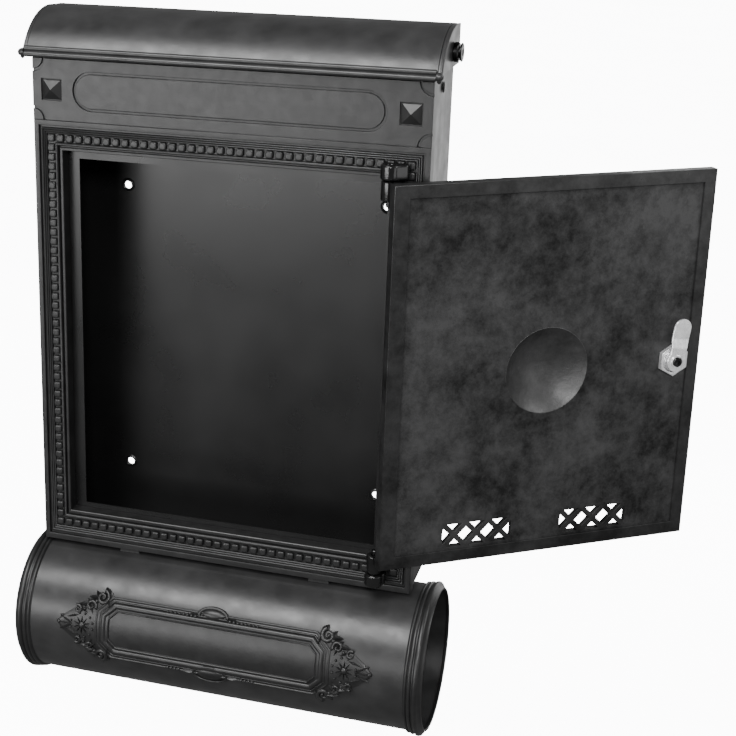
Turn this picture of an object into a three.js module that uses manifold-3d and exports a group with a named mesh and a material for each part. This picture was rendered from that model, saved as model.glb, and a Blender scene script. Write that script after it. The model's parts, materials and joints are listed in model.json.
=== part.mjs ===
// Wall letterbox with a barrel lid, a side-hinged cast door and a newspaper tube under the box.
// Millimetres, +Z up, the front faces -Y, the wall is the plane y = 0.
// The origin is on the rear panel's outer face, at mid height of the box.
import * as THREE from 'three';
import { mergeVertices } from 'three/addons/utils/BufferGeometryUtils.js';
import Module from 'manifold-3d';

const wasm = await Module();
wasm.setup();

// ---- driving dimensions ----
const GAP = 0.3;               // air kept between pieces that touch
const SHEET = 1;               // steel sheet of the box
const BOX_W = 298;             // outside width over the side walls
const BOX_H = 390;             // height of the box
const FACE_W = 300;            // width of the cast front
const FACE_Y = -72;            // plane of the cast front's face
const CAST_T = 9;              // overall depth of the cast front and of the door's rim
const BASE = -BOX_H / 2;       // underside of the box
const REAR_TOP = 412;          // the rear panel rises under the lid, above the underside
const REAR_HOLE_R = 3;
const REAR_HOLE_X = 104.8;
const REAR_HOLE_Z = [44.3, 279.4];   // above the underside

// cast front
const FACE_TOP = 391;          // above the underside, like all heights below
const OPEN_X = 127.5;          // half width of the door opening
const OPEN_Z0 = 27;
const OPEN_Z1 = 318;
const SKIN = 4;                // thickness of the casting between its ribs
const RIB = 3;
const PANEL_Z0 = 340.5;          // raised name panel over the door
const PANEL_Z1 = 386;
const PANEL_RISE = 1.4;
const SCALLOP_R = 10;
const FIELD_X = 118;           // sunk long round field in the panel
const FIELD_Z0 = 348.7;
const FIELD_Z1 = 377.7;
const STUD_X = 134.9;          // square sinkings with a pyramid each
const STUD_SIDE = 16;
const MOULD_RISE = 1.2;
const BEAD_X0 = 132.6;         // dentil course on the moulding, measured from the middle
const BEAD_X1 = 139;

// door, its hinge and its lock
const DOOR_CLEAR = 0.5;
const HINGE_X = 123.5;
const HINGE_OUT = 9;           // axis in front of the face
const OPEN_DEG = 215;          // rest: the door lies back as far as it goes
const PIN_R = 2.4;
const BORE_R = 2.8;
const EAR_R = 7;
const TOP_EAR_REACH = 12.5;    // how far a lug runs to the right of the axis
const LOW_EAR_REACH = 8;
const KNUCKLE_R = 6.3;
const TOP_EAR_Z = [318.1, 329];
const TOP_KNUCKLE_Z = [303.5, 317.4];
const LOW_EAR_Z = [7.5, 17.4];
const LOW_KNUCKLE_Z = [18, 32.5];
const DOOR_RIM = 10;
const RIM_STEP = 1.5;          // the field inside lies this much below the rim
const OUTSIDE_SINK = 3;        // the field outside lies deeper
const OUTSIDE_BORDER = 16;
const VENT_BORDER = 11;
const DISH_R = 33;             // round dish in the door's middle, a dome outside
const DISH_DEEP = 13;
const DISH_WALL = 3;
const VENT_X = 48.5;
const VENT_Z = 21;             // above the door's lower edge
const VENT_HALF = 29;
const VENT_TALL = 18;
const VENT_PITCH = 18.2;
const VENT_BAR = 4.2;
const LOCK_X = -104.5;
const CAM_LEAN = 8;            // degrees from upright, at rest
const CAM_LONG = 33;
const CAM_T = 1.6;
const CAM_STEP = 1.2;          // the cam's tongue is set back towards the door by this much

// lid
const LID_X = 154;             // half width of the lid
const LID_T = 1.2;
const LID_ARC_R = 51;
const LID_ARC_Y = -31.8;
const LID_ARC_Z = 369.5;
const LID_LIP_Z = 391.5;
const LID_BACK = [-8.5, 419];
const PIVOT_Y = -30;
const PIVOT_Z = 401.5;
const PIVOT_R = 3;

// newspaper tube
const TUBE_X = 5.4;              // the tube's middle sits slightly to the right of the box's
const TUBE_HALF = 164.8;
const TUBE_R = 56;
const TUBE_T = 1.2;
const TUBE_Y = -59.5;
const TUBE_Z = -58.5;
const RING_R = 59;
const RING_LONG = 14;
const BRACKET_X = 78;
const BRACKET_W = 16;
const TUBE_SCREW_Y = -55;
const PLAQUE_TILT = 10;        // degrees that the plaque looks up
const PLAQUE_R = 59.2;

const ROUND = 24;
const z = (height) => BASE + height;
const rad = THREE.MathUtils.degToRad;

function finish(color, roughness, metalness) {
  return new THREE.MeshStandardMaterial({ color, roughness, metalness });
}

const blackSheet = finish(0x2b2b2c, 0.45, 0.3);
const blackCast = finish(0x333334, 0.5, 0.3);
const darkSteel = finish(0x1d1d1e, 0.4, 0.8);
const zincSteel = finish(0xc9cbcd, 0.3, 0.9);

// ---- helpers ----
function solid(geometry) {
  const bare = geometry.clone();
  bare.deleteAttribute('normal');
  bare.deleteAttribute('uv');
  const merged = mergeVertices(bare, 1e-4);
  return new wasm.Manifold(new wasm.Mesh({
    numProp: 3,
    vertProperties: new Float32Array(merged.attributes.position.array),
    triVerts: new Uint32Array(merged.index.array),
  }));
}

function geometryOf(manifold) {
  const mesh = manifold.getMesh();
  const geometry = new THREE.BufferGeometry();
  geometry.setAttribute('position', new THREE.BufferAttribute(new Float32Array(mesh.vertProperties), 3));
  geometry.setIndex(new THREE.BufferAttribute(new Uint32Array(mesh.triVerts), 1));
  return geometry;
}

function box(x0, x1, y0, y1, z0, z1) {
  const g = new THREE.BoxGeometry(x1 - x0, y1 - y0, z1 - z0);
  return g.translate((x0 + x1) / 2, (y0 + y1) / 2, (z0 + z1) / 2);
}

const blockOf = (...limits) => solid(box(...limits));

// a shape drawn in X and Z, as thick as depth, with its front at yFront
function slab(shape, yFront, depth, curveSegments = 8) {
  const g = new THREE.ExtrudeGeometry(shape, { depth, bevelEnabled: false, curveSegments });
  return g.rotateX(Math.PI / 2).translate(0, yFront + depth, 0);
}

// a shape drawn in Y and Z, run along X from x0 to x1
function run(shape, x0, x1, curveSegments = 8) {
  const g = new THREE.ExtrudeGeometry(shape, { depth: x1 - x0, bevelEnabled: false, curveSegments });
  const turn = new THREE.Matrix4().makeBasis(
    new THREE.Vector3(0, 1, 0), new THREE.Vector3(0, 0, 1), new THREE.Vector3(1, 0, 0));
  return g.applyMatrix4(turn).translate(x0, 0, 0);
}

function outline(points) {
  const shape = new THREE.Shape();
  points.forEach(([u, v], i) => (i ? shape.lineTo(u, v) : shape.moveTo(u, v)));
  shape.closePath();
  return shape;
}

const frameShape = (x0, x1, z0, z1) => outline([[x0, z0], [x1, z0], [x1, z1], [x0, z1]]);

// round pieces: a cylinder along each axis, given by its two ends
function postZ(radius, z0, z1, x = 0, y = 0, sides = ROUND) {
  const g = new THREE.CylinderGeometry(radius, radius, z1 - z0, sides);
  return g.rotateX(Math.PI / 2).translate(x, y, (z0 + z1) / 2);
}

function postY(radius, y0, y1, x = 0, zc = 0, sides = ROUND) {
  return new THREE.CylinderGeometry(radius, radius, y1 - y0, sides).translate(x, (y0 + y1) / 2, zc);
}

function postX(radius, x0, x1, y = 0, zc = 0, sides = ROUND) {
  const g = new THREE.CylinderGeometry(radius, radius, x1 - x0, sides);
  return g.rotateZ(Math.PI / 2).translate((x0 + x1) / 2, y, zc);
}

const joined = (first, ...rest) => rest.reduce((all, next) => all.add(next), first);
const cut = (first, ...rest) => rest.reduce((all, next) => all.subtract(next), first);

const root = new THREE.Group();

function add(parent, name, shape, material) {
  const geometry = shape.isBufferGeometry ? shape : geometryOf(shape);
  const mesh = new THREE.Mesh(geometry, material);
  mesh.name = name;
  parent.add(mesh);
}

// ---- sheet-steel box ----
const IN_X = BOX_W / 2 - SHEET;
const STOP_Y = FACE_Y + CAST_T + GAP;     // front of the door-stop frame

function rearPanel() {
  const holes = REAR_HOLE_Z.flatMap((h) => [-1, 1].map((side) =>
    solid(postY(REAR_HOLE_R, -SHEET - 1, 1, side * REAR_HOLE_X, z(h)))));
  return cut(blockOf(-BOX_W / 2, BOX_W / 2, -SHEET, 0, z(0), z(REAR_TOP)), ...holes);
}

// the side wall rises to a rounded ear that carries the lid's pivot
function sideWall(side) {
  const backY = -SHEET - GAP;
  const ear = new THREE.Shape();
  ear.moveTo(STOP_Y, z(0));
  ear.lineTo(backY, z(0));
  ear.lineTo(backY, z(BOX_H));
  ear.lineTo(PIVOT_Y + 12, z(BOX_H));
  ear.absarc(PIVOT_Y, z(PIVOT_Z), 8, -0.3, Math.PI + 0.3, false);
  ear.lineTo(PIVOT_Y - 12, z(BOX_H));
  ear.lineTo(STOP_Y, z(BOX_H));
  ear.closePath();
  const x0 = side > 0 ? IN_X : -IN_X - SHEET;
  return cut(solid(run(ear, x0, x0 + SHEET)),
    solid(postX(PIVOT_R + GAP, x0 - 1, x0 + SHEET + 1, PIVOT_Y, z(PIVOT_Z))),
    solid(postX(2.3, x0 - 1, x0 + SHEET + 1, -38, z(377.7))));
}

function floorPanel() {
  const screws = [-1, 1].map((side) =>
    solid(postZ(2.3, z(0) - 1, z(SHEET) + 1, side * BRACKET_X, TUBE_SCREW_Y)));
  const floor = blockOf(-IN_X + GAP, IN_X - GAP, STOP_Y + SHEET + GAP, -SHEET - GAP, z(0), z(SHEET));
  return cut(floor, ...screws);
}

const CASTING_SCREWS = [14, 334].flatMap((h) => [[-137, h], [137, h]]);

// the folded front flange that the cast front is screwed to, and that the door closes against
function doorStopFrame() {
  const ring = solid(slab(frameShape(-IN_X + GAP, IN_X - GAP, z(0), z(BOX_H)), STOP_Y, SHEET));
  const hole = blockOf(-118.5, 118.5, STOP_Y - 1, STOP_Y + SHEET + 1, z(31), z(311));
  const screws = CASTING_SCREWS.map(([x, h]) => solid(postY(2.1, STOP_Y - 1, STOP_Y + SHEET + 1, x, z(h))));
  return cut(ring, hole, ...screws);
}

// ---- cast front ----
function namePanelShape() {
  const half = FACE_W / 2;
  const [z0, z1, r] = [z(PANEL_Z0), z(PANEL_Z1), SCALLOP_R];
  const shape = new THREE.Shape();
  shape.moveTo(-half + r, z0);
  shape.lineTo(half - r, z0);
  shape.absarc(half, z0, r, Math.PI, Math.PI / 2, true);
  shape.lineTo(half, z1 - r);
  shape.absarc(half, z1, r, -Math.PI / 2, -Math.PI, true);
  shape.lineTo(-half + r, z1);
  shape.absarc(-half, z1, r, 0, -Math.PI / 2, true);
  shape.lineTo(-half, z0 + r);
  shape.absarc(-half, z0, r, Math.PI / 2, 0, true);
  return shape;
}

function fieldShape() {
  const r = (FIELD_Z1 - FIELD_Z0) / 2;
  const mid = z((FIELD_Z0 + FIELD_Z1) / 2);
  const shape = new THREE.Shape();
  shape.absarc(FIELD_X - r, mid, r, -Math.PI / 2, Math.PI / 2, false);
  shape.absarc(-FIELD_X + r, mid, r, Math.PI / 2, Math.PI * 1.5, false);
  shape.closePath();
  return shape;
}

const mouldingRing = (outer, inner, rise) => solid(
  slab(frameShape(-outer[0], outer[0], z(outer[1]), z(outer[2])), FACE_Y - rise, rise + 0.5)).subtract(
  blockOf(-inner[0], inner[0], FACE_Y - rise - 1, FACE_Y + 1, z(inner[1]), z(inner[2])));

function pyramid(side) {
  const g = new THREE.ConeGeometry((STUD_SIDE / 2 - 0.6) / Math.SQRT1_2, 4, 4, 1);
  const middle = (FIELD_Z0 + FIELD_Z1) / 2;
  return g.rotateY(Math.PI / 4).rotateX(Math.PI / 2).translate(side * STUD_X, FACE_Y - 1.2, z(middle));
}

// a lug on the face, rounded about the hinge axis, bored for the pin
function hingeEar([z0, z1], reach) {
  const y = FACE_Y - HINGE_OUT;
  const body = blockOf(HINGE_X - EAR_R + 0.5, HINGE_X + reach, y, FACE_Y + 1, z(z0), z(z1));
  const nose = solid(postZ(EAR_R, z(z0), z(z1), HINGE_X, y));
  return joined(body, nose);
}

function frontCasting() {
  const half = FACE_W / 2;
  const opening = blockOf(-OPEN_X, OPEN_X, FACE_Y - 9, FACE_Y + CAST_T + 1, z(OPEN_Z0), z(OPEN_Z1));
  const plate = solid(slab(frameShape(-half, half, z(0), z(FACE_TOP)), FACE_Y, CAST_T));
  const back = [FACE_Y + SKIN, FACE_Y + CAST_T + 1];
  const pockets = [
    blockOf(-half + RIB, -OPEN_X - RIB, ...back, z(RIB), z(FACE_TOP - RIB)),
    blockOf(OPEN_X + RIB, half - RIB, ...back, z(RIB), z(FACE_TOP - RIB)),
    blockOf(-OPEN_X - RIB - 1, OPEN_X + RIB + 1, ...back, z(RIB), z(OPEN_Z0 - RIB)),
    blockOf(-OPEN_X - RIB - 1, OPEN_X + RIB + 1, ...back, z(OPEN_Z1 + RIB), z(FACE_TOP - RIB)),
  ];
  const bosses = CASTING_SCREWS.map(([x, h]) => solid(postY(4, FACE_Y + 2, FACE_Y + CAST_T, x, z(h))));
  const threads = CASTING_SCREWS.map(([x, h]) =>
    solid(postY(1.9, FACE_Y + 3.5, FACE_Y + CAST_T + 1, x, z(h))));
  const outerFillet = mouldingRing([half, 0, PANEL_Z0], [half - 4.5, 4.5, PANEL_Z0 - 4.5], MOULD_RISE);
  const dentils = mouldingRing([BEAD_X1, 14, 329.5], [BEAD_X0, 20.5, 323], MOULD_RISE);
  const innerFillet = mouldingRing([OPEN_X + 3, OPEN_Z0 - 3, OPEN_Z1 + 3],
    [OPEN_X - 2, OPEN_Z0 + 2, OPEN_Z1 - 2], 0.6);
  const panel = solid(slab(namePanelShape(), FACE_Y - PANEL_RISE, PANEL_RISE + 0.5)).subtract(
    solid(slab(fieldShape(), FACE_Y - PANEL_RISE - 1, 3)));
  const middle = z((FIELD_Z0 + FIELD_Z1) / 2);
  const reach = STUD_SIDE / 2;
  const sinkings = [-1, 1].map((side) => blockOf(side * STUD_X - reach, side * STUD_X + reach,
    FACE_Y - 5, FACE_Y + 0.4, middle - reach, middle + reach));
  const pinBore = solid(postZ(BORE_R, z(0), z(FACE_TOP), HINGE_X, FACE_Y - HINGE_OUT));
  let casting = joined(cut(plate, ...pockets), ...bosses, outerFillet, dentils, innerFillet, panel);
  casting = cut(casting, ...sinkings, ...threads);
  casting = joined(casting, ...[-1, 1].map((side) => solid(pyramid(side))));
  casting = cut(casting, opening);
  const ears = [hingeEar(TOP_EAR_Z, TOP_EAR_REACH), hingeEar(LOW_EAR_Z, LOW_EAR_REACH)];
  return cut(joined(casting, ...ears), pinBore);
}

// a screw along Y: head at y0, shank towards the front
function castingScrew(x, h) {
  const y = STOP_Y + SHEET + GAP;
  return joined(solid(postY(3.6, y, y + 2.2, x, z(h))), solid(postY(1.6, FACE_Y + 4, y + 1, x, z(h))));
}

function addHousing() {
  add(root, 'rear_panel', rearPanel(), blackSheet);
  add(root, 'side_wall_left', sideWall(-1), blackSheet);
  add(root, 'side_wall_right', sideWall(1), blackSheet);
  add(root, 'floor_panel', floorPanel(), blackSheet);
  add(root, 'door_stop_frame', doorStopFrame(), blackSheet);
  add(root, 'front_casting', frontCasting(), blackCast);
  CASTING_SCREWS.forEach(([x, h], i) => add(root, `casting_screw_${i + 1}`, castingScrew(x, h), zincSteel));
  const y = FACE_Y - HINGE_OUT;
  add(root, 'hinge_pin_top', postZ(PIN_R, z(298.5), z(TOP_EAR_Z[1] - 0.5), HINGE_X, y, 16), darkSteel);
  add(root, 'hinge_pin_lower', postZ(PIN_R, z(LOW_EAR_Z[0] + 0.5), z(36.5), HINGE_X, y, 16), darkSteel);
}

// ---- lid ----
function lidArc(shape, radius, from, to, clockwise) {
  shape.absarc(LID_ARC_Y, z(LID_ARC_Z), radius, from, to, clockwise);
}

const LIP_ANGLE = Math.PI - Math.asin((LID_LIP_Z - LID_ARC_Z) / LID_ARC_R);

// barrel sheet with a double rolled bead along its front edge
function lidShell() {
  const [backY, backZ] = [LID_BACK[0], z(LID_BACK[1])];
  const frontY = LID_ARC_Y - Math.sqrt(LID_ARC_R ** 2 - (LID_LIP_Z - LID_ARC_Z) ** 2);
  const lip = z(LID_LIP_Z);
  const shape = new THREE.Shape();
  shape.moveTo(backY, backZ);
  lidArc(shape, LID_ARC_R, Math.PI / 2, LIP_ANGLE - 0.06, false);
  shape.absarc(frontY - 2.2, lip + 2, 2.1, Math.PI / 2, Math.PI * 1.4, false);
  shape.absarc(frontY - 3.0, lip - 2, 2.1, Math.PI * 0.6, Math.PI * 1.5, false);
  shape.lineTo(frontY, lip - 3.2);
  lidArc(shape, LID_ARC_R - LID_T, LIP_ANGLE, Math.PI / 2, true);
  shape.lineTo(backY, backZ - LID_T);
  return run(shape, -LID_X, LID_X, 12);
}

// flat cheek inside the barrel's end, with the small turned-down toe under the bead
function lidEnd(side) {
  const inset = LID_T + GAP;
  const bottom = z(LID_LIP_Z - 0.5);
  const shape = new THREE.Shape();
  shape.moveTo(LID_BACK[0], bottom);
  shape.lineTo(LID_BACK[0], z(LID_BACK[1]) - inset);
  lidArc(shape, LID_ARC_R - inset, Math.PI / 2, LIP_ANGLE + 0.02, false);
  shape.closePath();
  const x0 = side > 0 ? LID_X - 1.9 : -LID_X + 0.7;
  return cut(solid(run(shape, x0, x0 + LID_T, 12)),
    solid(postX(PIVOT_R + GAP, x0 - 1, x0 + LID_T + 1, PIVOT_Y, z(PIVOT_Z))));
}

// turned screw: thick head, neck and thin outer disc, with its shank through cheek and side wall
function pivotScrew(side) {
  const spans = [[7, 154.4, 158.2], [4, 158, 159.4], [6.6, 159.3, 160.5], [PIVOT_R, 143, 154.6]];
  return joined(...spans.map(([r, a, b]) =>
    solid(postX(r, side > 0 ? a : -b, side > 0 ? b : -a, PIVOT_Y, z(PIVOT_Z)))));
}

function ringX(outer, inner, x0, x1, y, zc, sides = ROUND) {
  return cut(solid(postX(outer, x0, x1, y, zc, sides)), solid(postX(inner, x0 - 1, x1 + 1, y, zc)));
}

function addLid() {
  add(root, 'lid_shell', lidShell(), blackSheet);
  for (const [word, side] of [['left', -1], ['right', 1]]) {
    const at = (a, b) => (side > 0 ? [a, b] : [-b, -a]);
    add(root, `lid_end_${word}`, lidEnd(side), blackSheet);
    add(root, `lid_pivot_screw_${word}`, pivotScrew(side), darkSteel);
    add(root, `lid_pivot_spacer_${word}`,
      ringX(5.5, PIVOT_R + GAP, ...at(BOX_W / 2 + GAP, LID_X - 2.2), PIVOT_Y, z(PIVOT_Z)), darkSteel);
    add(root, `lid_pivot_nut_${word}`,
      ringX(6, PIVOT_R + GAP, ...at(IN_X - 4.3, IN_X - GAP), PIVOT_Y, z(PIVOT_Z), 6), zincSteel);
    const rivet = joined(solid(postX(4, ...at(BOX_W / 2 + GAP, BOX_W / 2 + 1.8), -38, z(377.7))),
      solid(postX(2, ...at(IN_X - 2, BOX_W / 2 + 1), -38, z(377.7))));
    add(root, `side_rivet_${word}`, rivet, darkSteel);
  }
}

// ---- newspaper tube ----
// profile given as [distance from the tube's end, radius], turned about the tube's axis
function turnedRing(profile, side) {
  const points = profile.map(([a, r]) => new THREE.Vector2(r, side * (TUBE_HALF - a)));
  if (side > 0) points.reverse();
  points.push(points[0].clone());
  const g = new THREE.LatheGeometry(points, 48);
  return g.rotateZ(-Math.PI / 2).translate(TUBE_X, TUBE_Y, z(TUBE_Z));
}

const RING_PROFILE = [
  [0, RING_R - 6], [0, RING_R - 4.4], [2.2, RING_R - 2.6], [3.4, RING_R - 0.8], [5.2, RING_R],
  [7, RING_R - 0.8], [8, RING_R - 2], [9.2, RING_R - 1.1], [10.6, RING_R - 1.1], [11.6, RING_R - 2],
  [12.6, RING_R - 1.7],
  [RING_LONG, RING_R - 2.3], [RING_LONG, TUBE_R + GAP], [2.8, TUBE_R + GAP], [2.8, RING_R - 4.6],
  [1.6, RING_R - 6]];

function tubeShell() {
  const end = 3.1;
  const pipe = turnedRing([[end, TUBE_R - TUBE_T], [end, TUBE_R], [2 * TUBE_HALF - end, TUBE_R],
    [2 * TUBE_HALF - end, TUBE_R - TUBE_T]], 1);
  const holes = [-1, 1].map((side) => solid(postZ(2.3, z(-9), z(1), side * BRACKET_X, TUBE_SCREW_Y)));
  return cut(solid(pipe), ...holes);
}

// saddle block between the box's floor and the tube
function tubeBracket(side) {
  const x = side * BRACKET_X;
  const top = z(0) - GAP;
  const block = blockOf(x - BRACKET_W / 2, x + BRACKET_W / 2, -71, -45, z(-6), top);
  const tube = solid(postX(TUBE_R + GAP, x - 20, x + 20, TUBE_Y, z(TUBE_Z), 96));
  return cut(block, tube, solid(postZ(2.3, z(-20), z(5), x, TUBE_SCREW_Y)));
}

// pan-head screw from the box's floor through bracket and tube
function tubeScrew(side) {
  const x = side * BRACKET_X;
  const floor = z(SHEET) + GAP;
  const head = solid(postZ(4, floor, floor + 2.4, x, TUBE_SCREW_Y));
  return joined(head, solid(postZ(1.9, z(-9), floor + 1, x, TUBE_SCREW_Y)));
}

function tubeNut(side) {
  const x = side * BRACKET_X;
  const top = z(TUBE_Z + TUBE_R - TUBE_T) - 1;
  const bore = solid(postZ(2.2, top - 4, top + 1, x, TUBE_SCREW_Y));
  return cut(solid(postZ(4.2, top - 3, top, x, TUBE_SCREW_Y, 6)), bore);
}

// long cast plaque, bent to the tube, with a pointed ornament at each end
function tubePlaque() {
  const [long, tip, half, horn] = [88, 128, 25, 29];
  const shape = outline([[-tip, 0], [-98, horn], [-long, half], [-14, half], [0, horn], [14, half],
    [long, half], [98, horn], [tip, 0], [98, -horn], [long, -half], [14, -half], [0, -horn], [-14, -half],
    [-long, -half], [-98, -horn]]);
  const g = slab(shape, -70, 40).rotateX(rad(-PLAQUE_TILT)).translate(TUBE_X, TUBE_Y, z(TUBE_Z));
  const skin = solid(postX(PLAQUE_R, -150, 150, TUBE_Y, z(TUBE_Z), 96)).subtract(
    solid(postX(TUBE_R + GAP, -151, 151, TUBE_Y, z(TUBE_Z), 96)));
  return solid(g).intersect(skin);
}

function addTube() {
  const steps = [[1, 'right'], [-1, 'left']];
  add(root, 'tube_shell', tubeShell(), blackSheet);
  for (const [side, word] of steps) {
    add(root, `tube_ring_${word}`, turnedRing(RING_PROFILE, side), blackCast);
    add(root, `tube_bracket_${word}`, tubeBracket(side), blackSheet);
    add(root, `tube_screw_${word}`, tubeScrew(side), zincSteel);
    add(root, `tube_nut_${word}`, tubeNut(side), zincSteel);
  }
  add(root, 'tube_plaque', tubePlaque(), blackCast);
}

// ---- door, drawn closed about its hinge axis and swung open by its group ----
const DX0 = -OPEN_X + DOOR_CLEAR - HINGE_X;    // free edge
const DX1 = OPEN_X - DOOR_CLEAR - HINGE_X;     // hinge edge
const DY = HINGE_OUT;                          // outer face, behind the axis
const DZ0 = z(OPEN_Z0 + DOOR_CLEAR);
const DZ1 = z(OPEN_Z1 - DOOR_CLEAR);
const DOOR_MID = (DZ0 + DZ1) / 2;
const INNER_Y = DY + CAST_T;                   // inner face of the rim
const FIELD_FRONT = DY + OUTSIDE_SINK;         // outer face of the sunk field
const FIELD_BACK = INNER_Y - RIM_STEP;         // inner face of the sunk field

function knuckle([z0, z1]) {
  const barrel = solid(postZ(KNUCKLE_R, z(z0), z(z1)));
  const web = blockOf(-KNUCKLE_R, DX1, 0, DY + 1, Math.max(z(z0), DZ0), z(z1));
  return joined(barrel, web);
}

// a ball's cap standing on the plane y, bulging towards the front
function cap(radius, height, y) {
  const ball = (radius ** 2 + height ** 2) / (2 * height);
  const g = new THREE.SphereGeometry(ball, 48, 32).rotateX(Math.PI / 2);
  g.translate(-HINGE_X, y - height + ball, DOOR_MID);
  const keep = blockOf(-HINGE_X - radius - 1, -HINGE_X + radius + 1, y - height - 1, y,
    DOOR_MID - radius - 1, DOOR_MID + radius + 1);
  return solid(g).intersect(keep);
}

// lattice vent: a long round slot crossed by slanting bars
function vent(x) {
  const r = VENT_TALL / 2;
  const zc = DZ0 + VENT_Z;
  const slot = new THREE.Shape();
  slot.absarc(x + VENT_HALF - r, zc, r, -Math.PI / 2, Math.PI / 2, false);
  slot.absarc(x - VENT_HALF + r, zc, r, Math.PI / 2, Math.PI * 1.5, false);
  slot.closePath();
  const bars = [];
  for (let i = -1; i <= 1; i += 1) {
    for (const lean of [-1, 1]) {
      const bar = box(-20, 20, DY - 2, INNER_Y + 2, -VENT_BAR / 2, VENT_BAR / 2);
      bars.push(solid(bar.rotateY(lean * Math.PI / 4).translate(x + i * VENT_PITCH, 0, zc)));
    }
  }
  return cut(solid(slab(slot, DY - 1, CAST_T + 2)), ...bars);
}

function doorPanel() {
  const plate = blockOf(DX0, DX1, DY, INNER_Y, DZ0, DZ1);
  const recess = blockOf(DX0 + DOOR_RIM, DX1 - DOOR_RIM - 2, FIELD_BACK, INNER_Y + 1, DZ0 + DOOR_RIM,
    DZ1 - DOOR_RIM);
  const sink = blockOf(DX0 + OUTSIDE_BORDER, DX1 - OUTSIDE_BORDER, DY - 1, FIELD_FRONT, DZ0 + VENT_BORDER,
    DZ1 - OUTSIDE_BORDER);
  const lockPad = solid(postY(14, DY, FIELD_FRONT + 1, LOCK_X - HINGE_X, DOOR_MID, 32));
  const dome = cap(DISH_R + DISH_WALL, DISH_DEEP - 1, FIELD_FRONT + 0.5);
  const dish = cap(DISH_R, DISH_DEEP, FIELD_BACK + 0.01);
  const lockHole = solid(postY(9.3, DY - 2, INNER_Y + 1, LOCK_X - HINGE_X, DOOR_MID));
  const knuckles = [knuckle(TOP_KNUCKLE_Z), knuckle(LOW_KNUCKLE_Z)];
  const whole = joined(cut(plate, recess, sink), lockPad, dome, ...knuckles);
  return cut(whole, dish, lockHole, vent(-HINGE_X - VENT_X), vent(-HINGE_X + VENT_X),
    solid(postZ(BORE_R, z(0), z(FACE_TOP))));
}

const CAM_Y = INNER_Y + 4.3;                   // face of the cam's eye that looks at the door

// lock pieces are turned about the lock's axis, which runs along Y through x = 0, z = 0
function lockBarrel() {
  const flange = solid(postY(12, DY - 2.3, DY - GAP, 0, 0, 32));
  const barrel = solid(postY(9, DY - 1, CAM_Y - 0.7, 0, 0, 32));
  return cut(joined(flange, barrel), solid(postY(6.5, DY - 3, CAM_Y)));
}

function lockNut() {
  const nut = solid(postY(12.7, FIELD_BACK + GAP, FIELD_BACK + 4.3, 0, 0, 6));
  return nut.subtract(solid(postY(9.3, FIELD_BACK - 1, FIELD_BACK + 6, 0, 0, 32)));
}

function lockPlug() {
  const core = solid(postY(6.2, DY - 2, CAM_Y - GAP));
  const keyway = blockOf(-0.8, 0.8, DY - 3, DY + 6, -3.5, 3.5);
  return cut(core, keyway, solid(postY(2.3, CAM_Y - 6, CAM_Y + 1)));
}

// steel strip with a round eye; past the eye it steps back towards the door
function lockCam() {
  const side = outline([[CAM_Y, -9], [CAM_Y + CAM_T, -9], [CAM_Y + CAM_T, 13],
    [CAM_Y + CAM_T - CAM_STEP, 18], [CAM_Y + CAM_T - CAM_STEP, CAM_LONG + 1],
    [CAM_Y - CAM_STEP, CAM_LONG + 1], [CAM_Y - CAM_STEP, 17.3], [CAM_Y, 12.3]]);
  const front = new THREE.Shape();
  front.absarc(0, 0, 8, Math.PI, 0, false);
  front.lineTo(6.7, 14);
  front.absarc(0, CAM_LONG - 6.7, 6.7, 0, Math.PI, false);
  front.lineTo(-6.7, 14);
  front.closePath();
  const strip = solid(run(side, -9, 9)).intersect(solid(slab(front, CAM_Y - 8, 12, 10)));
  return strip.subtract(solid(postY(2.4, CAM_Y - 2, CAM_Y + 3)));
}

function camScrew() {
  const head = solid(postY(4.6, CAM_Y + CAM_T + GAP, CAM_Y + CAM_T + 3.2, 0, 0, 20));
  const shank = solid(postY(1.9, CAM_Y - 5, CAM_Y + CAM_T + 1));
  const socket = solid(postY(2, CAM_Y + CAM_T + 1.6, CAM_Y + CAM_T + 4, 0, 0, 6));
  return cut(joined(head, shank), socket);
}

function addDoor() {
  const door = new THREE.Group();
  door.position.set(HINGE_X, FACE_Y - HINGE_OUT, 0);
  door.rotation.z = rad(OPEN_DEG);
  root.add(door);
  add(door, 'door_panel', doorPanel(), blackCast);
  const lock = new THREE.Group();
  lock.position.set(LOCK_X - HINGE_X, 0, DOOR_MID);
  door.add(lock);
  add(lock, 'lock_barrel', lockBarrel(), zincSteel);
  add(lock, 'lock_nut', lockNut(), zincSteel);
  const turning = new THREE.Group();
  turning.rotation.y = rad(-CAM_LEAN);
  lock.add(turning);
  add(turning, 'lock_plug', lockPlug(), zincSteel);
  add(turning, 'lock_cam', lockCam(), zincSteel);
  add(turning, 'cam_screw', camScrew(), zincSteel);
}

addHousing();
addLid();
addTube();
addDoor();

export default root;
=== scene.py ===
import json
import math

import bmesh
import bpy
from mathutils import Matrix, Vector


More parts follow.
